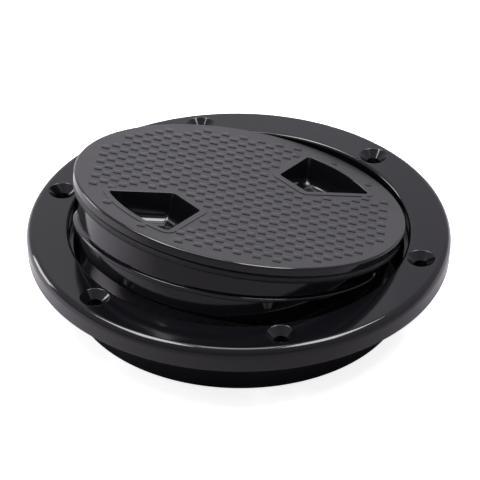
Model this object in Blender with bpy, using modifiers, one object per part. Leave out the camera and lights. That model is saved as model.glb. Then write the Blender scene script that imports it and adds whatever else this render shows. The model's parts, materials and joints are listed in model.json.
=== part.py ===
"""A round screw-out deck hatch, modelled in metres with +Z up.

The mounting ring stands on its collar with the origin at the centre of the collar's foot.
The lid is unscrewed and leans in the ring's mouth: one side of its rim has dropped into the
recess, and the other side is held up. Three moulded pieces make the hatch: the mounting ring,
the lid with its finger pockets, and the rubber seal under the lid's rim.
"""

import math

import bmesh
import bpy
from mathutils import Matrix, Vector

MM = 0.001

# ---- facets ----
TURN_STEPS = 96
RIDGE_STEP_DEG = 4.0
HOLE_STEPS = 16

# ---- mounting ring ----
FLANGE_HEIGHT = 8.4 * MM
FLANGE_EDGE_DROP = 3.2 * MM     # height of the rounded outer edge
FLANGE_EDGE_WIDTH = 2.4 * MM    # width of the rounded outer edge
FLANGE_DRAFT = 0.2 * MM         # how far the outer side leans in at its foot
PLATE = 3.2 * MM                # thickness of the flange's top plate
LIP = 2.2 * MM                  # width of the two rings that the flange stands on
COLLAR_WALL = 2.4 * MM
COLLAR_DRAFT = 0.3 * MM
MOUTH_ROUND = 1.0 * MM          # rounded edge of the recess
LEDGE_CHAMFER = 1.0 * MM        # the seal seats on it
RIB_THICKNESS = 1.6 * MM
RIB_CLEARANCE = 0.8 * MM        # a rib stops this far above the flange's foot
RIBS_BETWEEN_HOLES = 3

# ---- screw holes ----
HOLE_COUNT = 6
HOLE_RADIUS = 2.3 * MM
COUNTERSINK_RADIUS = 4.7 * MM
BOSS_WALL = 0.7 * MM             # round a countersink
HOLE_INSIDE_MARGIN = 0.3 * MM    # countersink to the recess's rounded edge
HOLE_OUTSIDE_MARGIN = 3.5 * MM   # countersink to the flange's outermost edge

# ---- lid ----
SKIRT_RADIUS = 53.3 * MM
SKIRT_WALL = 2.3 * MM
LID_DEPTH = 23.4 * MM
RIM_OVERHANG = 3.5 * MM
RIM_HEIGHT = 3.3 * MM
RIM_ROUND = 0.8 * MM
LID_PLATE = 2.8 * MM
FOOT_CHAMFER_WIDTH = 0.8 * MM
FOOT_CHAMFER_HEIGHT = 1.6 * MM
HUB_RADIUS = 9.0 * MM
LID_RIB_HEIGHT = 6.0 * MM       # below the lid's plate
LID_RIB_THICKNESS = 1.8 * MM
LID_RIB_ANGLES = (45, 90, 135, 225, 270, 315)

# ---- finger pockets ----
POCKET_INNER_RADIUS = 24.8 * MM
POCKET_MARGIN = 5.8 * MM         # pocket to the outside of the skirt
POCKET_INNER_HALF_ANGLE = 16.7
POCKET_OUTER_HALF_ANGLE = 19.6
POCKET_DEPTH = 9.8 * MM
POCKET_DRAFT = 1.4 * MM
POCKET_CORNER = 1.7 * MM
POCKET_WALL = 1.8 * MM
POCKET_ARC_PARTS = 8

# ---- seal ----
SEAL_THICKNESS = 3.0 * MM
SEAL_SEGMENTS = 12

# ---- thread: a few part-turn ridges on the skirt, and shorter ones in the bore ----
THREAD_STARTS = 2
THREAD_LEAD = 16.0 * MM         # right-hand
RIDGE_CREST = 1.2 * MM          # width of a ridge's flat top
RIDGE_BASE = 2.8 * MM           # width of a ridge where it meets its wall
RIDGE_HEIGHT = 1.3 * MM
RIDGE_RUN_OUT_DEG = 10.0
RIDGE_SEAL_GAP = 4.6389 * MM     # end of a lid ridge to the seal above it
LID_RIDGE_START_DEG = 135.0     # in the lid's own frame
RIDGE_FOOT_GAP = 5.2 * MM        # start of a lid ridge to the skirt's foot
RING_RIDGE_ARC_SHARE = 0.75      # of a lid ridge's arc
RING_RIDGE_START_DEG = 60.0
RIDGE_GRIP = 1.0 * MM            # a ring ridge starts this far above a shut lid's

# ---- clearances ----
TURNING_GAP = 0.15 * MM         # seal to lid, which turns in it
RECESS_GAP = 1.0 * MM           # lid's rim to the recess around it
RIDGE_TIP_GAP = 0.7 * MM        # a ridge's flat top to the wall it passes
SEAL_SEAT = 0.25 * MM           # how far the seal reaches below the ledge when shut
FOOT_GAP = 2.8 * MM             # a shut lid's foot to the ring's

# ---- how the loose lid leans in the ring ----
LEAN_DEG = 14.04
LEAN_TOWARDS_DEG = 4.7          # azimuth of the low side
LEAN_SHIFT = 1.52 * MM          # towards the low side
LEAN_SHIFT_ACROSS = 0.71 * MM
LOW_EDGE_DROP = 1.8 * MM        # the face's low edge, below the ring's top face
POCKET_AXIS_DEG = -8.1          # turn of the lid about its own axis, from the low side

# ---- sizes that follow ----
RIM_RADIUS = SKIRT_RADIUS + RIM_OVERHANG
RECESS_RADIUS = RIM_RADIUS + RECESS_GAP
BORE_RADIUS = SKIRT_RADIUS + RIDGE_HEIGHT + RIDGE_TIP_GAP
RECESS_DEPTH = RIM_HEIGHT + TURNING_GAP + SEAL_THICKNESS - SEAL_SEAT
COLLAR_RADIUS = BORE_RADIUS + COLLAR_WALL
ROOT_LIP_RADIUS = RECESS_RADIUS + COLLAR_WALL
HOLE_CIRCLE_RADIUS = RECESS_RADIUS + MOUTH_ROUND + HOLE_INSIDE_MARGIN + COUNTERSINK_RADIUS
FLANGE_RADIUS = HOLE_CIRCLE_RADIUS + COUNTERSINK_RADIUS + HOLE_OUTSIDE_MARGIN
BOSS_RADIUS = COUNTERSINK_RADIUS + BOSS_WALL
RING_HEIGHT = LID_DEPTH + FOOT_GAP
POCKET_OUTER_RADIUS = SKIRT_RADIUS - POCKET_MARGIN
SEAL_RADIUS = SKIRT_RADIUS + TURNING_GAP + SEAL_THICKNESS / 2
SEAL_DEPTH = RIM_HEIGHT + TURNING_GAP + SEAL_THICKNESS / 2
LID_RIDGE_START_DEPTH = LID_DEPTH - RIDGE_FOOT_GAP
LID_RIDGE_END_DEPTH = SEAL_DEPTH + SEAL_THICKNESS / 2 + RIDGE_SEAL_GAP
LID_RIDGE_ARC_DEG = 360 * (LID_RIDGE_START_DEPTH - LID_RIDGE_END_DEPTH) / THREAD_LEAD
RING_RIDGE_START_DROP = LID_RIDGE_START_DEPTH - RIDGE_GRIP
RING_RIDGE_ARC_DEG = LID_RIDGE_ARC_DEG * RING_RIDGE_ARC_SHARE
LID_CENTRE_RISE = RIM_RADIUS * math.sin(math.radians(LEAN_DEG)) - LOW_EDGE_DROP
COUNTERSINK_DEPTH = COUNTERSINK_RADIUS - HOLE_RADIUS
OVERLAP = 0.6 * MM              # how far joined shapes run into each other
OVERSHOOT = 1.0 * MM            # how far a cutter runs past what it cuts


def clear_scene():
    for obj in list(bpy.data.objects):
        bpy.data.objects.remove(obj)


def new_collection(name, hidden):
    collection = bpy.data.collections.new(name)
    bpy.context.scene.collection.children.link(collection)
    collection.hide_render = hidden
    return collection


def new_material(name, colour, roughness):
    material = bpy.data.materials.new(name)
    material.use_nodes = True
    shader = material.node_tree.nodes["Principled BSDF"]
    shader.inputs["Base Color"].default_value = (*colour, 1.0)
    shader.inputs["Roughness"].default_value = roughness
    shader.inputs["Metallic"].default_value = 0.0
    return material


def polar(radius, degrees, z=0.0):
    angle = math.radians(degrees)
    return Vector((radius * math.cos(angle), radius * math.sin(angle), z))


def quarter_round(centre, width, height, start_deg, end_deg, steps):
    """Points of an elliptical edge in the (radius, z) plane."""
    points = []
    for i in range(steps + 1):
        angle = math.radians(start_deg + (end_deg - start_deg) * i / steps)
        points.append((centre[0] + width * math.cos(angle), centre[1] + height * math.sin(angle)))
    return points


def add_object(name, mesh, collection, material=None):
    obj = bpy.data.objects.new(name, mesh)
    collection.objects.link(obj)
    if material:
        mesh.materials.append(material)
    return obj


def mark_helper(obj):
    obj.hide_render = True
    obj.display_type = "WIRE"
    return obj


def turned(name, profile, closed, collection, steps=TURN_STEPS):
    """A turned shape: a profile of (radius, z) points and a Screw modifier round Z."""
    mesh = bpy.data.meshes.new(name)
    count = len(profile)
    edges = [(i, i + 1) for i in range(count - 1)]
    if closed:
        edges.append((count - 1, 0))
    mesh.from_pydata([(r, 0.0, z) for r, z in profile], edges, [])
    obj = add_object(name, mesh, collection)
    screw = obj.modifiers.new("Turn", "SCREW")
    screw.axis = "Z"
    screw.angle = math.tau
    screw.steps = screw.render_steps = steps
    screw.use_merge_vertices = True
    screw.merge_threshold = 0.00001
    screw.use_smooth_shade = True
    return obj


def lofted(name, sections, collection):
    """A closed solid through sections that have the same number of points, capped at both ends."""
    bm = bmesh.new()
    rings = [[bm.verts.new(point) for point in section] for section in sections]
    for first, second in zip(rings, rings[1:]):
        for i in range(len(first)):
            j = (i + 1) % len(first)
            bm.faces.new((first[i], first[j], second[j], second[i]))
    bm.faces.new(rings[0])
    bm.faces.new(rings[-1])
    bmesh.ops.recalc_face_normals(bm, faces=bm.faces)
    mesh = bpy.data.meshes.new(name)
    bm.to_mesh(mesh)
    bm.free()
    return mark_helper(add_object(name, mesh, collection))


def box_bar(name, start, end, thickness, low, high, collection):
    """An upright bar from start to end, with its lower and upper faces at low and high."""
    bm = bmesh.new()
    bmesh.ops.create_cube(bm, size=1.0)
    span = end - start
    middle = (start + end) / 2
    middle.z = (low + high) / 2
    turn = Matrix.Rotation(math.atan2(span.y, span.x), 4, "Z")
    scale = Matrix.Diagonal((span.length, thickness, high - low, 1.0))
    bmesh.ops.transform(bm, matrix=Matrix.Translation(middle) @ turn @ scale, verts=bm.verts)
    mesh = bpy.data.meshes.new(name)
    bm.to_mesh(mesh)
    bm.free()
    return mark_helper(add_object(name, mesh, collection))


def post(name, centre, radius, low, high, collection, steps=HOLE_STEPS * 2):
    """An upright round post."""
    bm = bmesh.new()
    bmesh.ops.create_cone(
        bm, cap_ends=True, segments=steps, radius1=radius, radius2=radius, depth=high - low
    )
    place = Matrix.Translation((centre.x, centre.y, (low + high) / 2))
    bmesh.ops.transform(bm, matrix=place, verts=bm.verts)
    mesh = bpy.data.meshes.new(name)
    bm.to_mesh(mesh)
    bm.free()
    return mark_helper(add_object(name, mesh, collection))


def thread_ridge(name, wall_radius, height, arc_deg, start_deg, start_z, collection):
    """One ridge of a right-hand thread. Height is negative on an inside wall."""
    sunk = wall_radius - math.copysign(OVERLAP, height)
    buried = wall_radius - 0.1 * height
    steps = round(arc_deg / RIDGE_STEP_DEG)
    sections = []
    for i in range(steps + 1):
        along = arc_deg * i / steps
        full = min(1.0, min(along, arc_deg - along) / RIDGE_RUN_OUT_DEG)
        crest = buried + 1.1 * height * full
        half_crest = RIDGE_CREST / 2 * (0.3 + 0.7 * full)
        half_base = RIDGE_BASE / 2 * (0.3 + 0.7 * full)
        z = start_z + THREAD_LEAD * along / 360
        sections.append(
            [
                polar(sunk, start_deg + along, z - half_base),
                polar(crest, start_deg + along, z - half_crest),
                polar(crest, start_deg + along, z + half_crest),
                polar(sunk, start_deg + along, z + half_base),
            ]
        )
    return lofted(name, sections, collection)


def combine(obj, operation, collection):
    cut = obj.modifiers.new(operation.title(), "BOOLEAN")
    cut.operation = operation
    cut.operand_type = "COLLECTION"
    cut.collection = collection
    cut.solver = "EXACT"
    return cut


def rounded(corners, radius, round_these, steps=3):
    """The outline with the listed corners replaced by arcs of this radius."""
    outline = []
    count = len(corners)
    for i, corner in enumerate(corners):
        if i not in round_these:
            outline.append(corner)
            continue
        to_last = (corners[i - 1] - corner).normalized()
        to_next = (corners[(i + 1) % count] - corner).normalized()
        half = to_last.angle(to_next) / 2
        start = corner + to_last * (radius / math.tan(half))
        end = corner + to_next * (radius / math.tan(half))
        centre = corner + (to_last + to_next).normalized() * (radius / math.sin(half))
        for k in range(steps + 1):
            spoke = (start - centre).lerp(end - centre, k / steps).normalized()
            outline.append(centre + spoke * radius)
    return outline


def pocket_outline(grow, centre_deg, z):
    """A finger pocket's edge: a straight inner side, two slanting sides and an outer arc."""
    inner = POCKET_INNER_RADIUS - grow
    outer = POCKET_OUTER_RADIUS + grow
    spread_in = POCKET_INNER_HALF_ANGLE + math.degrees(grow / inner)
    spread_out = POCKET_OUTER_HALF_ANGLE + math.degrees(grow / outer)
    corners = [polar(inner, spread_in), polar(inner, -spread_in)]
    for i in range(POCKET_ARC_PARTS + 1):
        angle = -spread_out + 2 * spread_out * i / POCKET_ARC_PARTS
        corners.append(polar(outer, angle))
    last = len(corners) - 1
    outline = rounded(corners, POCKET_CORNER + max(grow, 0.0), (0, 1, 2, last))
    turn = Matrix.Rotation(math.radians(centre_deg), 4, "Z")
    return [turn @ Vector((p.x, p.y, z)) for p in outline]


def ring_profile():
    """The mounting ring's section, with its top face at RING_HEIGHT."""
    top = RING_HEIGHT
    foot = top - FLANGE_HEIGHT
    ledge = top - RECESS_DEPTH
    edge_centre = (FLANGE_RADIUS - FLANGE_EDGE_WIDTH, top - FLANGE_EDGE_DROP)
    foot_radius = FLANGE_RADIUS - FLANGE_DRAFT
    mouth_centre = (RECESS_RADIUS + MOUTH_ROUND, top - MOUTH_ROUND)
    return (
        quarter_round(edge_centre, FLANGE_EDGE_WIDTH, FLANGE_EDGE_DROP, 90, 0, 5)
        + [
            (foot_radius, foot),
            (foot_radius - LIP, foot),
            (foot_radius - LIP, top - PLATE),
            (ROOT_LIP_RADIUS, top - PLATE),
            (ROOT_LIP_RADIUS, foot),
            (COLLAR_RADIUS, foot),
            (COLLAR_RADIUS - COLLAR_DRAFT, 0.0),
            (BORE_RADIUS, 0.0),
            (BORE_RADIUS, ledge - LEDGE_CHAMFER),
            (BORE_RADIUS + LEDGE_CHAMFER, ledge),
            (RECESS_RADIUS, ledge),
        ]
        + quarter_round(mouth_centre, MOUTH_ROUND, MOUTH_ROUND, 180, 90, 3)
    )


def lid_profile():
    """The lid's section in its own frame: its face is at z = 0 and its skirt hangs below."""
    rim_centre = (RIM_RADIUS - RIM_ROUND, -RIM_ROUND)
    inside = SKIRT_RADIUS - SKIRT_WALL
    return (
        [(0.0, 0.0)]
        + quarter_round(rim_centre, RIM_ROUND, RIM_ROUND, 90, 0, 3)
        + [
            (RIM_RADIUS, -RIM_HEIGHT),
            (SKIRT_RADIUS, -RIM_HEIGHT),
            (SKIRT_RADIUS, -LID_DEPTH + FOOT_CHAMFER_HEIGHT),
            (SKIRT_RADIUS - FOOT_CHAMFER_WIDTH, -LID_DEPTH),
            (inside, -LID_DEPTH),
            (inside, -LID_PLATE),
            (0.0, -LID_PLATE),
        ]
    )


def build_mounting_ring(parts, helpers):
    joined = bpy.data.collections.new("ring_additions")
    cuts = bpy.data.collections.new("ring_cuts")
    helpers.children.link(joined)
    helpers.children.link(cuts)
    top = RING_HEIGHT
    foot = top - FLANGE_HEIGHT
    ring = turned("mounting_ring", ring_profile(), True, parts)
    outer_lip = FLANGE_RADIUS - FLANGE_DRAFT - LIP + OVERLAP
    inner_lip = ROOT_LIP_RADIUS - OVERLAP
    pitch = 360 / HOLE_COUNT
    for hole in range(HOLE_COUNT):
        centre = polar(HOLE_CIRCLE_RADIUS, hole * pitch)
        post(f"boss_{hole + 1}", centre, BOSS_RADIUS, foot, top - PLATE + OVERLAP, joined)
        profile = [
            (0.0, OVERSHOOT),
            (COUNTERSINK_RADIUS + OVERSHOOT, OVERSHOOT),
            (HOLE_RADIUS, -COUNTERSINK_DEPTH),
            (HOLE_RADIUS, -FLANGE_HEIGHT - OVERSHOOT),
            (0.0, -FLANGE_HEIGHT - OVERSHOOT),
        ]
        cutter = mark_helper(turned(f"screw_hole_{hole + 1}", profile, False, cuts, HOLE_STEPS * 2))
        cutter.location = (centre.x, centre.y, top)
        for rib in range(1, RIBS_BETWEEN_HOLES + 1):
            angle = (hole + rib / (RIBS_BETWEEN_HOLES + 1)) * pitch
            box_bar(
                f"flange_rib_{hole + 1}_{rib}", polar(inner_lip, angle), polar(outer_lip, angle),
                RIB_THICKNESS, foot + RIB_CLEARANCE, top - PLATE + OVERLAP, joined,
            )
    for start in range(THREAD_STARTS):
        heading = RING_RIDGE_START_DEG + start * 360 / THREAD_STARTS
        thread_ridge(
            f"ring_ridge_{start + 1}", BORE_RADIUS, -RIDGE_HEIGHT, RING_RIDGE_ARC_DEG, heading,
            top - RING_RIDGE_START_DROP, joined,
        )
    combine(ring, "UNION", joined)
    combine(ring, "DIFFERENCE", cuts)
    return ring


def build_lid(parts, helpers, frame):
    joined = bpy.data.collections.new("lid_additions")
    cuts = bpy.data.collections.new("lid_cuts")
    helpers.children.link(joined)
    helpers.children.link(cuts)
    lid = turned("lid", lid_profile(), False, parts)
    under = -LID_PLATE
    cup_floor = -POCKET_DEPTH - POCKET_WALL
    pieces = []
    for side, angle in (("right", 0), ("left", 180)):
        cup = [
            pocket_outline(POCKET_WALL, angle, under + OVERLAP),
            pocket_outline(POCKET_WALL - POCKET_DRAFT, angle, cup_floor),
        ]
        hollow = [
            pocket_outline(0.1 * MM, angle, OVERSHOOT),
            pocket_outline(-POCKET_DRAFT, angle, -POCKET_DEPTH),
        ]
        pieces.append(lofted(f"{side}_cup", cup, joined))
        pieces.append(lofted(f"{side}_hollow", hollow, cuts))
        rib_start = polar(HUB_RADIUS - OVERLAP, angle)
        rib_end = polar(POCKET_INNER_RADIUS, angle)
        pieces.append(
            box_bar(f"{side}_cup_rib", rib_start, rib_end, LID_RIB_THICKNESS,
                    under - LID_RIB_HEIGHT, under + OVERLAP, joined)
        )
    pieces.append(
        post("hub", Vector((0, 0, 0)), HUB_RADIUS, under - LID_RIB_HEIGHT, under + OVERLAP, joined)
    )
    for angle in LID_RIB_ANGLES:
        start = polar(HUB_RADIUS - OVERLAP, angle)
        end = polar(SKIRT_RADIUS - SKIRT_WALL + OVERLAP, angle)
        pieces.append(
            box_bar(f"lid_rib_{angle}", start, end, LID_RIB_THICKNESS,
                    under - LID_RIB_HEIGHT, under + OVERLAP, joined)
        )
    for start in range(THREAD_STARTS):
        heading = LID_RIDGE_START_DEG + start * 360 / THREAD_STARTS
        pieces.append(
            thread_ridge(f"lid_ridge_{start + 1}", SKIRT_RADIUS, RIDGE_HEIGHT, LID_RIDGE_ARC_DEG,
                         heading, -LID_RIDGE_START_DEPTH, joined)
        )
    for piece in pieces:
        piece.parent = frame
    combine(lid, "UNION", joined)
    combine(lid, "DIFFERENCE", cuts)
    lid.parent = frame
    return lid


def build_seal(parts, frame):
    """A round-section rubber ring, in the corner of the rim and the skirt."""
    section = []
    for i in range(SEAL_SEGMENTS):
        angle = -math.tau * i / SEAL_SEGMENTS
        section.append(
            (
                SEAL_RADIUS + SEAL_THICKNESS / 2 * math.cos(angle),
                -SEAL_DEPTH + SEAL_THICKNESS / 2 * math.sin(angle),
            )
        )
    seal = turned("lid_seal", section, True, parts)
    seal.parent = frame
    return seal


def lid_axis(parts):
    """The empty that carries the lid. Its origin is the middle of the lid's face, its Z axis is
    the line that the lid turns about, and its X axis points to the right finger pocket."""
    axis = bpy.data.objects.new("lid_axis", None)
    parts.objects.link(axis)
    heading = Matrix.Rotation(math.radians(LEAN_TOWARDS_DEG), 4, "Z")
    offset = Vector((LEAN_SHIFT, LEAN_SHIFT_ACROSS, RING_HEIGHT + LID_CENTRE_RISE))
    lean = Matrix.Rotation(math.radians(LEAN_DEG), 4, "Y")
    turn = Matrix.Rotation(math.radians(POCKET_AXIS_DEG), 4, "Z")
    axis.matrix_world = heading @ Matrix.Translation(offset) @ lean @ turn
    return axis


def main():
    clear_scene()
    parts = new_collection("deck_hatch", False)
    helpers = new_collection("cutters_and_joiners", True)
    gloss_abs = new_material("black_gloss_abs", (0.012, 0.012, 0.014), 0.12)
    grained_abs = new_material("black_grained_abs", (0.03, 0.03, 0.033), 0.45)
    rubber = new_material("black_seal_rubber", (0.015, 0.015, 0.015), 0.7)
    frame = lid_axis(parts)
    ring = build_mounting_ring(parts, helpers)
    ring.data.materials.append(gloss_abs)
    lid = build_lid(parts, helpers, frame)
    lid.data.materials.append(grained_abs)
    seal = build_seal(parts, frame)
    seal.data.materials.append(rubber)


main()
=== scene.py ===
"""The looks of a round screw-out deck hatch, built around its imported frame. Metres, +Z up."""

import json
import math

import bpy
from mathutils import Matrix, Vector


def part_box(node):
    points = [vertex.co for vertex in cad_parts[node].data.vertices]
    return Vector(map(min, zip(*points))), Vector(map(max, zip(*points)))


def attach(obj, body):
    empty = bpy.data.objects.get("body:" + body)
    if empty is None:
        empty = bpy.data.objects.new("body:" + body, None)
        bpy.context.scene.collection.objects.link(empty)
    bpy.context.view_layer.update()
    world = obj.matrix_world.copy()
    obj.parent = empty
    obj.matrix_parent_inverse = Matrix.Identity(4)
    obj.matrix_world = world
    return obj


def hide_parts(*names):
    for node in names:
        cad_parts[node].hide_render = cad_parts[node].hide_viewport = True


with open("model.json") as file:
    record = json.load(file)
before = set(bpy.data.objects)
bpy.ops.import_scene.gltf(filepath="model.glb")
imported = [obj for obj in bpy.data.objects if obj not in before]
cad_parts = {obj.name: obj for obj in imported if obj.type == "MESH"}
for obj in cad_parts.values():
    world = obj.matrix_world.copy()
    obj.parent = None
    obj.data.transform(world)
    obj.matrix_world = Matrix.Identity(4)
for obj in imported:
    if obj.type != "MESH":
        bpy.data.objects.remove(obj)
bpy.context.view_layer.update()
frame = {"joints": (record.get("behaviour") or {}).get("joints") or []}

MM = 0.001

# ---- sizes read from the frame ----
turn_joint = next(j for j in frame["joints"] if j["name"] == "lid_turn")
LID_CENTRE = Vector(turn_joint["pos_m"])
LID_UP = Vector(turn_joint["axis"]).normalized()
ring_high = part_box("mounting_ring")[1]
RING_TOP = ring_high.z
FLANGE_RADIUS = ring_high.x

# ---- mounting ring ----
FLANGE_HEIGHT = 8.4 * MM
PLATE = 3.2 * MM
EDGE_DROP = 3.2 * MM
EDGE_WIDTH = 2.4 * MM
FLANGE_DRAFT = 0.2 * MM
FLANGE_LIP = 2.2 * MM
COLLAR_RADIUS = 57.7 * MM
COLLAR_WALL = 2.4 * MM
COLLAR_DRAFT = 0.3 * MM
BORE_RADIUS = COLLAR_RADIUS - COLLAR_WALL
RECESS_RADIUS = 57.8 * MM
RECESS_DEPTH = 6.2 * MM
MOUTH_ROUND = 1.0 * MM
LEDGE_CHAMFER = 1.0 * MM
ROOT_LIP_RADIUS = RECESS_RADIUS + COLLAR_WALL
SMALL_ROUND = 0.35 * MM         # of every small edge

HOLE_COUNT = 6
HOLE_CIRCLE_RADIUS = 63.8 * MM
HOLE_RADIUS = 2.3 * MM
COUNTERSINK_RADIUS = 4.7 * MM
COUNTERSINK_LIP = 0.35 * MM
BOSS_RADIUS = 5.4 * MM
RIBS_BETWEEN_HOLES = 3
RIB_THICKNESS = 1.6 * MM
RIB_CLEARANCE = 0.8 * MM

# ---- lid, in its own frame: the face at z = 0, the right pocket along +X ----
LID_HEADING_DEG = -3.4
SKIRT_RADIUS = 53.3 * MM
SKIRT_WALL = 2.3 * MM
LID_DEPTH = 23.4 * MM
RIM_RADIUS = 56.8 * MM
RIM_HEIGHT = 3.3 * MM
RIM_ROUND = 0.8 * MM
LID_PLATE = 2.8 * MM
LID_INSIDE_ROUND = 1.0 * MM
FOOT_CHAMFER = (0.8 * MM, 1.6 * MM)
HUB_RADIUS = 9.0 * MM
LID_RIB_HEIGHT = 6.0 * MM
LID_RIB_THICKNESS = 1.8 * MM
LID_RIB_ANGLES = (45, 90, 135, 225, 270, 315)

TREAD_RADIUS = 51.8 * MM
TREAD_DEPTH = 0.22 * MM
TREAD_PITCH = 4.58 * MM
STUD_SIDE = 2.75 * MM
STUD_ROOT = 0.2 * MM            # how far a stud reaches into the face
STUD_BEVEL = 0.1 * MM
POCKET_BORDER = 2.2 * MM

POCKET_INNER_RADIUS = 24.8 * MM
POCKET_OUTER_RADIUS = 47.5 * MM
POCKET_INNER_HALF_DEG = 16.7
POCKET_OUTER_HALF_DEG = 19.6
POCKET_DEPTH = 9.7 * MM
POCKET_DRAFT = 1.4 * MM
POCKET_CORNER = 1.3 * MM
POCKET_FILLET = 3.0 * MM
POCKET_WALL = 1.8 * MM
CUP_CHAMFER = 1.0 * MM

# ---- thread ----
THREAD_STARTS = 2
THREAD_LEAD = 16.0 * MM
RIDGE_HEIGHT = 1.3 * MM
RIDGE_CREST = 1.2 * MM
RIDGE_BASE = 2.8 * MM
RIDGE_ROUND = 0.3 * MM
RIDGE_FADE_DEG = 10.0           # over which each end sinks into its wall
RIDGE_STEP_DEG = 1.5
LID_RIDGE = (135.0, 160.0, -18.2 * MM)      # start angle, arc, height of its start
RING_RIDGE = (60.0, 120.0, RING_TOP - 17.2 * MM)

# ---- seal ----
SEAL_THICKNESS = 3.0 * MM
SEAL_CLEARANCE = 0.15 * MM
SEAL_RADIUS = SKIRT_RADIUS + SEAL_CLEARANCE + SEAL_THICKNESS / 2
SEAL_DEPTH = RIM_HEIGHT + SEAL_CLEARANCE + SEAL_THICKNESS / 2

# ---- modelling ----
SIDES = 256                     # of a turned shape
SINK = 0.6 * MM                 # how far a joined piece reaches into its neighbour
OVERSHOOT = 1.0 * MM            # how far a cutter passes the face that it cuts
AXIS_GAP = 0.02 * MM            # from the axis to where a solid's turned section starts
WELD = 0.002 * MM


def lid_place():
    """From the lid's own frame to its place in the leaning lid's frame."""
    lean = Vector((0, 0, 1)).rotation_difference(LID_UP).to_matrix().to_4x4()
    heading = Matrix.Rotation(math.radians(LID_HEADING_DEG), 4, "Z")
    return Matrix.Translation(LID_CENTRE) @ lean @ heading


# ------------------------------------------------------------------ modelling helpers


def deselect():
    """Object mode, with nothing selected."""
    if bpy.context.mode != "OBJECT":
        bpy.ops.object.mode_set(mode="OBJECT")
    bpy.ops.object.select_all(action="DESELECT")


def only(obj):
    """Selects this object alone and makes it the active one."""
    deselect()
    obj.select_set(True)
    bpy.context.view_layer.objects.active = obj
    return obj


def named(name):
    """The active object, given this name."""
    obj = bpy.context.active_object
    obj.name = obj.data.name = name
    return obj


def settle(obj, place=None):
    """Puts the object's place in its mesh, and leaves the object at the origin."""
    only(obj)
    if place is not None:
        obj.matrix_world = place @ obj.matrix_world
    bpy.ops.object.transform_apply(location=True, rotation=True, scale=True)
    return obj


def edit_all():
    """Edit mode, with everything selected."""
    bpy.ops.object.mode_set(mode="EDIT")
    bpy.ops.mesh.select_all(action="SELECT")


def make_solid(open_ends=True):
    """From edit mode: fills any open ends, and turns every face outwards."""
    if open_ends:
        bpy.ops.mesh.select_all(action="DESELECT")
        bpy.ops.mesh.select_non_manifold()
        bpy.ops.mesh.fill_holes(sides=0)
    bpy.ops.mesh.select_all(action="SELECT")
    bpy.ops.mesh.normals_make_consistent(inside=False)
    bpy.ops.object.mode_set(mode="OBJECT")


def arc(centre, width, height, start_deg, end_deg, steps):
    """Points of a rounded edge in the (radius, z) plane."""
    turn = [math.radians(start_deg + (end_deg - start_deg) * i / steps) for i in range(steps + 1)]
    return [(centre[0] + width * math.cos(a), centre[1] + height * math.sin(a)) for a in turn]


def turned(name, profile, closed, sides=SIDES):
    """A turned shape: a circle at the profile's first point, extruded from point to point."""
    deselect()
    radius, z = profile[0]
    bpy.ops.mesh.primitive_circle_add(vertices=sides, radius=radius, location=(0, 0, z))
    obj = named(name)
    bpy.ops.object.transform_apply(location=True)
    edit_all()
    stops = profile[1:] + (profile[:1] if closed else [])
    for next_radius, next_z in stops:
        bpy.ops.mesh.extrude_region_move(TRANSFORM_OT_translate={"value": (0, 0, next_z - z)})
        scale = next_radius / radius
        bpy.ops.transform.resize(value=(scale, scale, 1), center_override=(0, 0, next_z))
        radius, z = next_radius, next_z
    bpy.ops.mesh.select_all(action="SELECT")
    bpy.ops.mesh.remove_doubles(threshold=WELD)
    make_solid(open_ends=not closed)
    return obj


def block(name, start, end, thickness, low, high):
    """An upright bar from start to end, with its lower and upper faces at low and high."""
    deselect()
    span = end - start
    middle = (start + end) / 2
    bpy.ops.mesh.primitive_cube_add(size=1, location=(middle.x, middle.y, (low + high) / 2))
    obj = named(name)
    obj.rotation_euler.z = math.atan2(span.y, span.x)
    obj.scale = (span.length, thickness, high - low)
    return settle(obj)


def peg(name, centre, radius, low, high, sides=64):
    """An upright cylinder, with its lower and upper faces at low and high."""
    deselect()
    bpy.ops.mesh.primitive_cylinder_add(vertices=sides, radius=radius, depth=high - low,
                                        location=(centre.x, centre.y, (low + high) / 2))
    return settle(named(name))


def polar(radius, degrees, z=0.0):
    """The point at this radius and angle."""
    angle = math.radians(degrees)
    return Vector((radius * math.cos(angle), radius * math.sin(angle), z))


def ridge(name, wall, height, ridge_sizes, index):
    """One ridge of the thread: its section swept round the axis with the thread's rise."""
    start_deg, arc_deg, start_z = ridge_sizes
    start_deg += index * 360 / THREAD_STARTS
    rise = THREAD_LEAD * arc_deg / 360
    sunk = wall - math.copysign(SINK, height)
    deselect()
    bpy.ops.mesh.primitive_plane_add(size=1)
    obj = named(name)
    section = [(sunk, -RIDGE_BASE / 2), (wall + height, -RIDGE_CREST / 2), (sunk, RIDGE_BASE / 2),
               (wall + height, RIDGE_CREST / 2)]
    for vertex, (radius, z) in zip(obj.data.vertices, section):
        vertex.co = polar(radius, start_deg, start_z + z)
    edit_all()
    bpy.ops.mesh.bevel(offset=RIDGE_ROUND, segments=3, affect="VERTICES")
    bpy.ops.mesh.delete(type="ONLY_FACE")
    bpy.ops.object.mode_set(mode="OBJECT")
    screw = obj.modifiers.new("Thread", "SCREW")
    screw.axis = "Z"
    screw.angle = math.radians(arc_deg)
    screw.screw_offset = rise
    screw.steps = screw.render_steps = round(arc_deg / RIDGE_STEP_DEG)
    screw.use_merge_vertices = False
    bpy.ops.object.modifier_apply(modifier="Thread")
    for end_deg in (start_deg, start_deg + arc_deg):
        run_out(obj, wall, height, end_deg)
    edit_all()
    make_solid()
    return obj


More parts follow.
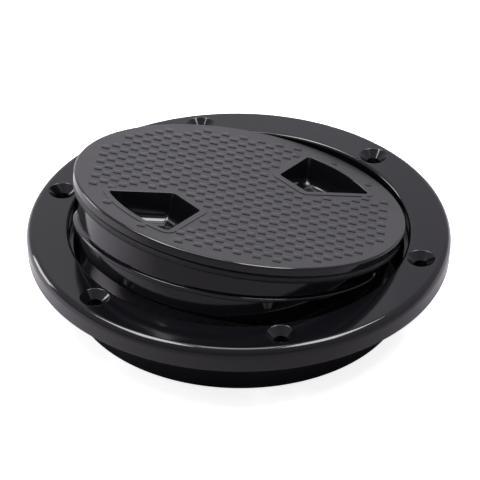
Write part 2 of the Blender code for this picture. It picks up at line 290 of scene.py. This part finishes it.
def run_out(obj, wall, height, end_deg):
    """Lets a ridge sink into its wall near this end."""
    below = 0.15                # of the ridge's height, at the very end
    for vertex in obj.data.vertices:
        angle = math.degrees(math.atan2(vertex.co.y, vertex.co.x))
        off = abs((angle - end_deg + 180) % 360 - 180)
        if off < RIDGE_FADE_DEG:
            radius = vertex.co.xy.length
            over = radius - wall
            if over * height > 0:
                full = math.sin(math.pi / 2 * off / RIDGE_FADE_DEG)
                scale = (wall + over * (full - below * (1 - full))) / radius
                vertex.co.x *= scale
                vertex.co.y *= scale


def gather(name, objects):
    """The objects joined into one."""
    only(objects[0])
    for obj in objects[1:]:
        obj.select_set(True)
    if len(objects) > 1:
        bpy.ops.object.join()
    return named(name)


def cut_or_join(obj, operation, others):
    """A Boolean with one or several objects, which are then removed."""
    tools = bpy.data.collections.new("boolean_tools")
    for other in others:
        tools.objects.link(other)
    only(obj)
    boolean = obj.modifiers.new("Boolean", "BOOLEAN")
    boolean.operation = operation
    boolean.operand_type = "COLLECTION"
    boolean.collection = tools
    boolean.solver = "EXACT"
    bpy.ops.object.modifier_apply(modifier="Boolean")
    bpy.data.collections.remove(tools)
    for other in others:
        bpy.data.objects.remove(other)
    return obj


def finish_surface(obj, smooth_deg=35):
    """Smooth rounds, sharp edges and flat faces that look flat."""
    only(obj)
    edit_all()
    bpy.ops.mesh.remove_doubles(threshold=WELD)
    bpy.ops.object.mode_set(mode="OBJECT")
    bpy.ops.object.shade_smooth_by_angle(angle=math.radians(smooth_deg))
    weighted = obj.modifiers.new("Flat faces stay flat", "WEIGHTED_NORMAL")
    weighted.keep_sharp = True
    weighted.weight = 100
    bpy.ops.object.modifier_apply(modifier=weighted.name)
    return obj


# ------------------------------------------------------------------ mounting ring


def ring_section():
    """The ring's section as (radius, z), from the top of its edge round to its mouth."""
    foot = RING_TOP - FLANGE_HEIGHT
    ledge = RING_TOP - RECESS_DEPTH
    under = RING_TOP - PLATE
    side = FLANGE_RADIUS - FLANGE_DRAFT
    edge_centre = (FLANGE_RADIUS - EDGE_WIDTH, RING_TOP - EDGE_DROP)
    mouth_centre = (RECESS_RADIUS + MOUTH_ROUND, RING_TOP - MOUTH_ROUND)
    r = SMALL_ROUND
    section = arc(edge_centre, EDGE_WIDTH, EDGE_DROP, 90, 0, 16)
    section += arc((side - r, foot + r), r, r, 0, -90, 4)
    section += [
        (side - FLANGE_LIP, foot),
        (side - FLANGE_LIP, under),
        (ROOT_LIP_RADIUS, under),
        (ROOT_LIP_RADIUS, foot),
        (COLLAR_RADIUS, foot),
    ]
    section += arc((COLLAR_RADIUS - COLLAR_DRAFT - r, r), r, r, 0, -90, 4)
    section += arc((BORE_RADIUS + r, r), r, r, -90, -180, 4)
    section += [
        (BORE_RADIUS, ledge - LEDGE_CHAMFER),
        (BORE_RADIUS + LEDGE_CHAMFER, ledge),
    ]
    section += arc((RECESS_RADIUS - r, ledge + r), r, r, -90, 0, 3)
    section += arc(mouth_centre, MOUTH_ROUND, MOUTH_ROUND, 180, 90, 10)
    return section


def countersink_cutter(index):
    """What one screw hole takes away: a through hole, a 90 degree cone and a rounded lip."""
    depth = COUNTERSINK_RADIUS - HOLE_RADIUS
    lip = COUNTERSINK_LIP
    past = -FLANGE_HEIGHT - OVERSHOOT
    section = [(AXIS_GAP, OVERSHOOT), (COUNTERSINK_RADIUS + lip, OVERSHOOT),
               (COUNTERSINK_RADIUS + lip, 0.0)]
    section += arc((COUNTERSINK_RADIUS + lip, -lip), lip, lip, 100, 135, 4)
    section += [(HOLE_RADIUS, -depth), (HOLE_RADIUS, past), (AXIS_GAP, past)]
    cutter = turned(f"hole_cutter_{index}", section, False, 64)
    centre = polar(HOLE_CIRCLE_RADIUS, index * 360 / HOLE_COUNT, RING_TOP)
    return settle(cutter, Matrix.Translation(centre))


def make_ring():
    """The mounting ring, with its bosses, ribs, thread ridges and screw holes."""
    ring = turned("ring_moulding", ring_section(), True)
    foot = RING_TOP - FLANGE_HEIGHT
    plate_inside = RING_TOP - PLATE + SINK
    inner = ROOT_LIP_RADIUS - SINK
    outer = FLANGE_RADIUS - FLANGE_DRAFT - FLANGE_LIP + SINK
    pitch = 360 / HOLE_COUNT
    added = []
    for hole in range(HOLE_COUNT):
        centre = polar(HOLE_CIRCLE_RADIUS, hole * pitch)
        added.append(peg(f"boss_{hole}", centre, BOSS_RADIUS, foot, plate_inside))
        for rib in range(1, RIBS_BETWEEN_HOLES + 1):
            angle = (hole + rib / (RIBS_BETWEEN_HOLES + 1)) * pitch
            added.append(block(f"rib_{hole}_{rib}", polar(inner, angle), polar(outer, angle),
                               RIB_THICKNESS, foot + RIB_CLEARANCE, plate_inside))
    for index in range(THREAD_STARTS):
        added.append(ridge(f"bore_ridge_{index}", BORE_RADIUS, -RIDGE_HEIGHT, RING_RIDGE, index))
    cut_or_join(ring, "UNION", added)
    cut_or_join(ring, "DIFFERENCE", [countersink_cutter(i) for i in range(HOLE_COUNT)])
    return finish_surface(ring)


# ------------------------------------------------------------------ lid


def rounded(corners, radius, round_these, steps=6):
    """The outline with the listed corners replaced by arcs of this radius."""
    outline = []
    for i, corner in enumerate(corners):
        if i not in round_these:
            outline.append(corner)
            continue
        to_last = (corners[i - 1] - corner).normalized()
        to_next = (corners[(i + 1) % len(corners)] - corner).normalized()
        half = to_last.angle(to_next) / 2
        start = corner + to_last * (radius / math.tan(half))
        end = corner + to_next * (radius / math.tan(half))
        centre = corner + (to_last + to_next).normalized() * (radius / math.sin(half))
        for k in range(steps + 1):
            spoke = (start - centre).lerp(end - centre, k / steps).normalized()
            outline.append(centre + spoke * radius)
    return outline


def pocket_outline(grow, arc_parts=20):
    """A finger pocket's edge: a straight inner side, two slanting sides and an outer arc."""
    inner = POCKET_INNER_RADIUS - grow
    outer = POCKET_OUTER_RADIUS + grow
    spread_in = POCKET_INNER_HALF_DEG + math.degrees(grow / inner)
    spread_out = POCKET_OUTER_HALF_DEG + math.degrees(grow / outer)
    radius = POCKET_CORNER + max(grow, 0.0)
    corner_room = 1.6 * radius  # along the outer arc, so that its points stay clear of the round
    past_corner = spread_out - math.degrees(corner_room / outer)
    corners = [polar(inner, spread_in), polar(inner, -spread_in), polar(outer, -spread_out)]
    for i in range(arc_parts + 1):
        corners.append(polar(outer, past_corner * (2 * i / arc_parts - 1)))
    corners.append(polar(outer, spread_out))
    return rounded(corners, radius, (0, 1, 2, len(corners) - 1))


def pocket_solid(name, levels, side):
    """A solid with the pocket's outline, grown or shrunk at each level down: (grow, z)."""
    deselect()
    count = len(pocket_outline(levels[0][0]))
    bpy.ops.mesh.primitive_circle_add(vertices=count, radius=POCKET_OUTER_RADIUS)
    obj = named(name)
    edit_all()
    for _ in levels[1:]:
        bpy.ops.mesh.extrude_region_move()
    bpy.ops.object.mode_set(mode="OBJECT")
    points = [Vector((p.x, p.y, z)) for grow, z in levels for p in pocket_outline(grow)]
    for vertex, point in zip(obj.data.vertices, points):
        vertex.co = point
    edit_all()
    make_solid()
    return settle(obj, Matrix.Rotation(math.radians(180 * side), 4, "Z"))


def lid_section():
    """The lid's section as (radius, z), from the middle of its face round to its underside."""
    inside = SKIRT_RADIUS - SKIRT_WALL
    r = SMALL_ROUND
    hollow = LID_INSIDE_ROUND
    face = -TREAD_DEPTH
    section = [(AXIS_GAP, face), (RIM_RADIUS - 2 * MM, face)]
    section += arc((RIM_RADIUS - RIM_ROUND, face - RIM_ROUND), RIM_ROUND, RIM_ROUND, 90, 0, 10)
    section += arc((RIM_RADIUS - r, -RIM_HEIGHT + r), r, r, 0, -90, 4)
    section += [(SKIRT_RADIUS + 2 * r, -RIM_HEIGHT)]
    section += arc((SKIRT_RADIUS + r, -RIM_HEIGHT - r), r, r, 90, 180, 3)
    section += [
        (SKIRT_RADIUS, -LID_DEPTH + FOOT_CHAMFER[1]),
        (SKIRT_RADIUS - FOOT_CHAMFER[0], -LID_DEPTH),
    ]
    section += arc((inside + r, -LID_DEPTH + r), r, r, -90, -180, 3)
    section += arc((inside - hollow, -LID_PLATE - hollow), hollow, hollow, 0, 90, 4)
    section += [(AXIS_GAP, -LID_PLATE)]
    return section


def make_lid_shell():
    """The lid, with its ribs, thread ridges, pocket cups and the raised borders round them."""
    lid = turned("lid_moulding", lid_section(), False)
    rib_foot = -LID_PLATE - LID_RIB_HEIGHT
    rib_root = -LID_PLATE + SINK
    added = [peg("hub", Vector((0, 0, 0)), HUB_RADIUS, rib_foot, rib_root)]
    for angle in LID_RIB_ANGLES:
        added.append(block(f"lid_rib_{angle}", polar(HUB_RADIUS - SINK, angle),
                           polar(SKIRT_RADIUS - SKIRT_WALL + SINK, angle),
                           LID_RIB_THICKNESS, rib_foot, rib_root))
    for side in (0, 1):
        floor = -POCKET_DEPTH - POCKET_WALL
        added.append(pocket_solid(f"cup_{side}", [
            (POCKET_WALL, rib_root),
            (POCKET_WALL - POCKET_DRAFT, floor + CUP_CHAMFER),
            (POCKET_WALL - POCKET_DRAFT - CUP_CHAMFER, floor),
        ], side))
        angle = 180 * side
        added.append(block(f"cup_rib_{side}", polar(HUB_RADIUS - SINK, angle),
                           polar(POCKET_INNER_RADIUS, angle),
                           LID_RIB_THICKNESS, rib_foot, rib_root))
        # the border's edge is rounded over its last tenth of a millimetre
        added.append(pocket_solid(f"border_{side}", [
            (POCKET_BORDER, -1.0 * MM),
            (POCKET_BORDER, -0.12 * MM),
            (POCKET_BORDER - 0.03 * MM, -0.05 * MM),
            (POCKET_BORDER - 0.1 * MM, -0.02 * MM),
        ], side))
    for index in range(THREAD_STARTS):
        added.append(ridge(f"skirt_ridge_{index}", SKIRT_RADIUS, RIDGE_HEIGHT, LID_RIDGE, index))
    cut_or_join(lid, "UNION", added)
    # the pocket's mouth is rounded over a quarter of a millimetre, and its floor by the fillet
    hollows = [pocket_solid(f"hollow_{side}", [
        (0.25 * MM, OVERSHOOT),
        (0.25 * MM, 0.0),
        (0.1 * MM, -0.03 * MM),
        (0.03 * MM, -0.1 * MM),
        (0.0, -0.25 * MM),
        (-POCKET_DRAFT * 0.8, POCKET_FILLET - POCKET_DEPTH),
        *arc((-POCKET_DRAFT * 0.8 - POCKET_FILLET, POCKET_FILLET - POCKET_DEPTH),
             POCKET_FILLET, POCKET_FILLET, -10, -90, 8),
    ], side) for side in (0, 1)]
    cut_or_join(lid, "DIFFERENCE", hollows)
    return finish_surface(settle(lid, lid_place()))


def inside_border(point, margin):
    """Whether a stud here would touch a pocket's border."""
    radius = point.length
    angle = abs(math.degrees(math.atan2(point.y, abs(point.x))))
    grown = POCKET_BORDER + margin
    inner = POCKET_INNER_RADIUS - grown
    outer = POCKET_OUTER_RADIUS + grown
    if abs(point.x) < inner * math.cos(math.radians(POCKET_INNER_HALF_DEG)) or radius > outer:
        return False
    spread = POCKET_INNER_HALF_DEG + (POCKET_OUTER_HALF_DEG - POCKET_INNER_HALF_DEG) * (
        (radius - inner) / (outer - inner))
    return angle < spread + math.degrees(grown / radius)


def make_studs():
    """The raised squares of the tread, set corner to corner with the line of the pockets."""
    half_diagonal = STUD_SIDE / math.sqrt(2)
    border_margin = half_diagonal * 0.7
    height = TREAD_DEPTH + STUD_ROOT
    deselect()
    bpy.ops.mesh.primitive_cube_add(size=1)
    stud = named("stud")
    stud.scale = (STUD_SIDE, STUD_SIDE, height)
    stud.location.z = -height / 2
    stud.rotation_euler.z = math.radians(45)
    settle(stud)
    bpy.ops.object.mode_set(mode="EDIT")
    bpy.ops.mesh.select_mode(type="FACE")
    bpy.ops.mesh.select_all(action="DESELECT")
    bpy.ops.object.mode_set(mode="OBJECT")
    for face in stud.data.polygons:
        face.select = face.normal.z > 0.9
    bpy.ops.object.mode_set(mode="EDIT")
    bpy.ops.mesh.bevel(offset=STUD_BEVEL, segments=2, affect="EDGES")
    bpy.ops.mesh.select_mode(type="VERT")
    bpy.ops.object.mode_set(mode="OBJECT")
    reach = math.ceil(TREAD_RADIUS / TREAD_PITCH)
    steps = range(-reach, reach + 1)
    copies = []
    for spot in [Vector((i * TREAD_PITCH, j * TREAD_PITCH, 0)) for i in steps for j in steps]:
        if spot.length > TREAD_RADIUS or inside_border(spot, border_margin):
            continue
        copy = stud.copy()
        copy.data = stud.data.copy()
        copy.location = spot
        bpy.context.scene.collection.objects.link(copy)
        copies.append(copy)
    bpy.data.objects.remove(stud)
    tread = gather("lid_tread", copies)
    settle(tread, lid_place())
    bpy.ops.object.shade_smooth_by_angle(angle=math.radians(30))
    return tread


def make_seal():
    """The rubber ring under the lid's rim."""
    deselect()
    bpy.ops.mesh.primitive_torus_add(
        major_radius=SEAL_RADIUS, minor_radius=SEAL_THICKNESS / 2, major_segments=SIDES,
        minor_segments=24, location=(0, 0, -SEAL_DEPTH))
    seal = settle(named("seal_ring"), lid_place())
    bpy.ops.object.shade_smooth()
    return seal


# ------------------------------------------------------------------ materials

ABS_IOR = 1.52


def linear(hex_colour):
    """An sRGB hex colour as linear RGBA."""
    parts = [int(hex_colour[i:i + 2], 16) / 255 for i in (1, 3, 5)]
    line = [c / 12.92 if c <= 0.04045 else ((c + 0.055) / 1.055) ** 2.4 for c in parts]
    return (*line, 1.0)


def add_node(tree, kind, settings=None, **links):
    """A node with its settings, and its inputs set or linked by name."""
    node = tree.nodes.new(kind)
    for key, value in (settings or {}).items():
        setattr(node, key, value)
    for key, value in links.items():
        socket = node.inputs[key.replace("_", " ")]
        if isinstance(value, bpy.types.NodeSocket):
            tree.links.new(value, socket)
        else:
            socket.default_value = value
    return node


def new_material(name):
    """A material with its node tree and its shader."""
    material = bpy.data.materials.new(name)
    material.use_nodes = True
    return material, material.node_tree, material.node_tree.nodes["Principled BSDF"]


def mottle(tree, shader, scale, detail, low, high):
    """Roughness that wanders between low and high."""
    place = add_node(tree, "ShaderNodeTexCoord").outputs["Object"]
    noise = add_node(tree, "ShaderNodeTexNoise", Vector=place, Scale=scale, Detail=detail)
    rough = add_node(tree, "ShaderNodeMapRange", Value=noise.outputs["Fac"], To_Min=low,
                     To_Max=high)
    tree.links.new(rough.outputs["Result"], shader.inputs["Roughness"])


def ripple(tree, shader, scale, strength, height):
    """A fine unevenness of the surface."""
    place = add_node(tree, "ShaderNodeTexCoord").outputs["Object"]
    noise = add_node(tree, "ShaderNodeTexNoise", Vector=place, Scale=scale, Detail=2.0)
    bump = add_node(tree, "ShaderNodeBump", Height=noise.outputs["Fac"], Strength=strength,
                    Distance=height)
    tree.links.new(bump.outputs["Normal"], shader.inputs["Normal"])


def moulded_abs():
    """Black ABS from a polished mould: deep, glossy, with faint waviness and a little haze."""
    material, tree, shader = new_material("black_abs_polished")
    ripple(tree, shader, 45.0, 0.02, 0.4 * MM)
    mottle(tree, shader, 160.0, 4.0, 0.07, 0.13)
    shader.inputs["Base Color"].default_value = linear("#0b0b0e")
    shader.inputs["IOR"].default_value = ABS_IOR
    return material


def grained_abs():
    """Black ABS from a spark-eroded mould: an even satin grain of about 0.15 mm."""
    material, tree, shader = new_material("black_abs_grained")
    ripple(tree, shader, 1 / (0.3 * MM), 0.25, 0.05 * MM)
    mottle(tree, shader, 60.0, 3.0, 0.34, 0.42)
    shader.inputs["Base Color"].default_value = linear("#141416")
    shader.inputs["IOR"].default_value = ABS_IOR
    return material


def seal_rubber():
    """Black nitrile rubber: matt, with a soft sheen."""
    material, tree, shader = new_material("black_nitrile_rubber")
    mottle(tree, shader, 300.0, 3.0, 0.5, 0.65)
    shader.inputs["Base Color"].default_value = linear("#0e0e0f")
    return material


def dress_lid(lid, gloss, satin):
    """Satin grain on the lid's face, polished plastic on its rim, skirt and pockets."""
    lid.data.materials.clear()
    lid.data.materials.append(gloss)
    lid.data.materials.append(satin)
    into_lid = lid_place().inverted()
    for face in lid.data.polygons:
        local = into_lid @ face.center
        tilt = into_lid.to_3x3() @ face.normal
        on_face = local.z > -TREAD_DEPTH - 0.05 * MM and tilt.z > 0.95
        face.material_index = 1 if on_face else 0


def wear(obj, material, body, slot, *nodes):
    """Gives the object one material, and then its place in the frame."""
    obj.data.materials.clear()
    obj.data.materials.append(material)
    carry(obj, body, slot, *nodes)


def carry(obj, body, slot, *nodes):
    """Puts the object on its body, in place of any plain solids; the slot it is given is not used.
    """
    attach(obj, body)
    if nodes:
        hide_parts(*nodes)


# ------------------------------------------------------------------ the object

gloss = moulded_abs()
satin = grained_abs()
rubber = seal_rubber()

wear(make_ring(), gloss, "ring", "ring_abs", "mounting_ring")
lid = make_lid_shell()
dress_lid(lid, gloss, satin)
carry(lid, "lid", "lid_abs", "lid")
wear(make_studs(), satin, "lid", "lid_abs")
wear(make_seal(), rubber, "seal", "seal_rubber", "lid_seal")

# ------------------------------------------------------------------ stage, light and camera

CAMERA_AZIMUTH_DEG = -132.68    # of the camera, from +X
CAMERA_ELEVATION_DEG = 34.79
CAMERA_ROLL_DEG = 0.68
CAMERA_PLACE = (0.4 * MM, -837.4 * MM, 601.4 * MM)      # across, back and up, from the ring's foot
CAMERA_LENS = 224.65
HEADING = Matrix.Rotation(math.radians(CAMERA_AZIMUTH_DEG + 90), 4, "Z")


def camera_frame():
    """Where the camera is and how it is turned."""
    tip = Matrix.Rotation(math.radians(90 - CAMERA_ELEVATION_DEG), 4, "X")
    roll = Matrix.Rotation(math.radians(CAMERA_ROLL_DEG), 4, "Z")
    return HEADING @ Matrix.Translation(CAMERA_PLACE) @ tip @ roll


def make_camera():
    data = bpy.data.cameras.new("camera")
    data.lens = CAMERA_LENS
    data.sensor_width = 36
    data.clip_start = 0.05
    data.clip_end = 20
    camera = bpy.data.objects.new("camera", data)
    bpy.context.scene.collection.objects.link(camera)
    camera.matrix_world = camera_frame()
    bpy.context.scene.camera = camera


def softbox(name, azimuth_deg, elevation_deg, distance, size, power):
    """A soft rectangular light, aimed at the hatch. Azimuth is counted from the camera's side."""
    data = bpy.data.lights.new(name, "AREA")
    data.shape = "RECTANGLE"
    data.size, data.size_y = size
    data.energy = power
    light = bpy.data.objects.new(name, data)
    bpy.context.scene.collection.objects.link(light)
    azimuth = math.radians(CAMERA_AZIMUTH_DEG + azimuth_deg)
    elevation = math.radians(elevation_deg)
    direction = Vector((math.cos(azimuth) * math.cos(elevation),
                        math.sin(azimuth) * math.cos(elevation), math.sin(elevation)))
    light.location = direction * distance
    light.rotation_mode = "QUATERNION"
    light.rotation_quaternion = direction.to_track_quat("Z", "Y")


# How bright the studio is, from the camera's side, 0, to low at the back, 1. The two ends come
# first.
WORLD_GREYS = ((0.0, 0.2), (1.0, 0.97), (0.5, 0.42), (0.75, 0.48), (0.925, 0.52), (0.9635, 0.57),
               (0.985, 0.85))

BOARD_RADIUS = 5
BOARD_SIDES = 128


def board(name, height, hole=0.0):
    """A large level board, with a round hole in it or none."""
    deselect()
    bpy.ops.mesh.primitive_circle_add(vertices=BOARD_SIDES, radius=BOARD_RADIUS,
                                      fill_type="NGON", location=(0, 0, height))
    plane = named(name)
    if hole:
        edit_all()
        to_a_side = BOARD_RADIUS * math.cos(math.pi / BOARD_SIDES)
        bpy.ops.mesh.inset(thickness=to_a_side - hole, depth=0)
        bpy.ops.mesh.delete(type="FACE")
        bpy.ops.object.mode_set(mode="OBJECT")
    material, tree, shader = new_material(name + "_paint")
    shader.inputs["Roughness"].default_value = 0.9
    shader.inputs["Specular IOR Level"].default_value = 0.0
    plane.data.materials.append(material)
    return plane, tree, shader


def along(tree, coordinates, direction, low, high):
    """How far along this direction, as the camera's side sees it: 0 at low, 1 at high."""
    share = add_node(tree, "ShaderNodeVectorMath", {"operation": "DOT_PRODUCT"})
    tree.links.new(coordinates, share.inputs[0])
    share.inputs[1].default_value = HEADING.to_3x3() @ Vector(direction)
    return add_node(tree, "ShaderNodeMapRange", Value=share.outputs["Value"], From_Min=low,
                    From_Max=high).outputs["Result"]


def make_stage():
    """A white floor round the ring's foot, and under it a table painted darker towards the front:
    painted shade for the hatch's shadow falling forward on the floor.
    """
    floor, tree, shader = board("floor", -0.2 * MM, COLLAR_RADIUS - COLLAR_WALL / 2)
    shader.inputs["Base Color"].default_value = linear("#f0f0f0")
    shader.inputs["Emission Color"].default_value = linear("#ffffff")
    shader.inputs["Emission Strength"].default_value = 0.8
    floor.visible_glossy = floor.visible_diffuse = floor.visible_shadow = False
    table, tree, shader = board("table", -0.4 * MM)
    # painted shade: the table's colour runs from dark at the front to light at the back, standing
    # in for the hatch's shadow cast forward, on top of the real shadows the table takes
    spot = add_node(tree, "ShaderNodeTexCoord").outputs["Object"]
    back = along(tree, spot, (-0.3, 0.95, 0), -0.10, 0.03)
    paint = add_node(tree, "ShaderNodeValToRGB", Fac=back).color_ramp.elements
    paint[0].color = (0.23, 0.215, 0.24, 1)
    paint[1].color = (0.62, 0.59, 0.64, 1)
    tree.links.new(tree.nodes["Color Ramp"].outputs["Color"], shader.inputs["Base Color"])
    world = bpy.data.worlds.new("white_studio")
    bpy.context.scene.world = world
    world.use_nodes = True
    tree = world.node_tree
    direction = add_node(tree, "ShaderNodeTexCoord").outputs["Generated"]
    back = along(tree, direction, (0, 0.97, 0.24), -1.0, 1.0)
    ramp = add_node(tree, "ShaderNodeValToRGB", Fac=back)
    stops = ramp.color_ramp.elements
    for place, grey in WORLD_GREYS:
        stop = stops[int(place)] if place in (0.0, 1.0) else stops.new(place)
        stop.color = (grey, grey * 0.95, grey * 1.05, 1)
    backdrop = tree.nodes["Background"]
    tree.links.new(ramp.outputs["Color"], backdrop.inputs["Color"])
    backdrop.inputs["Strength"].default_value = 1.0
    bpy.context.scene.view_settings.view_transform = "Standard"


# Name, azimuth, elevation, distance, size across and up, power.
SOFTBOXES = (
    ("softbox_left", -94, 68, 1.3, (0.8, 0.45), 13),
    ("softbox_right", 94, 68, 1.3, (0.8, 0.45), 13),
    ("softbox_top", 180, 84, 1.3, (0.4, 0.5), 3.5),
    ("low_panel_left", -115, 12, 1.0, (0.35, 0.35), 2.8),
    ("back_panel_left", -155, 25, 0.35, (0.4, 0.32), 0.055),
)

make_stage()
make_camera()
for softbox_sizes in SOFTBOXES:
    softbox(*softbox_sizes)
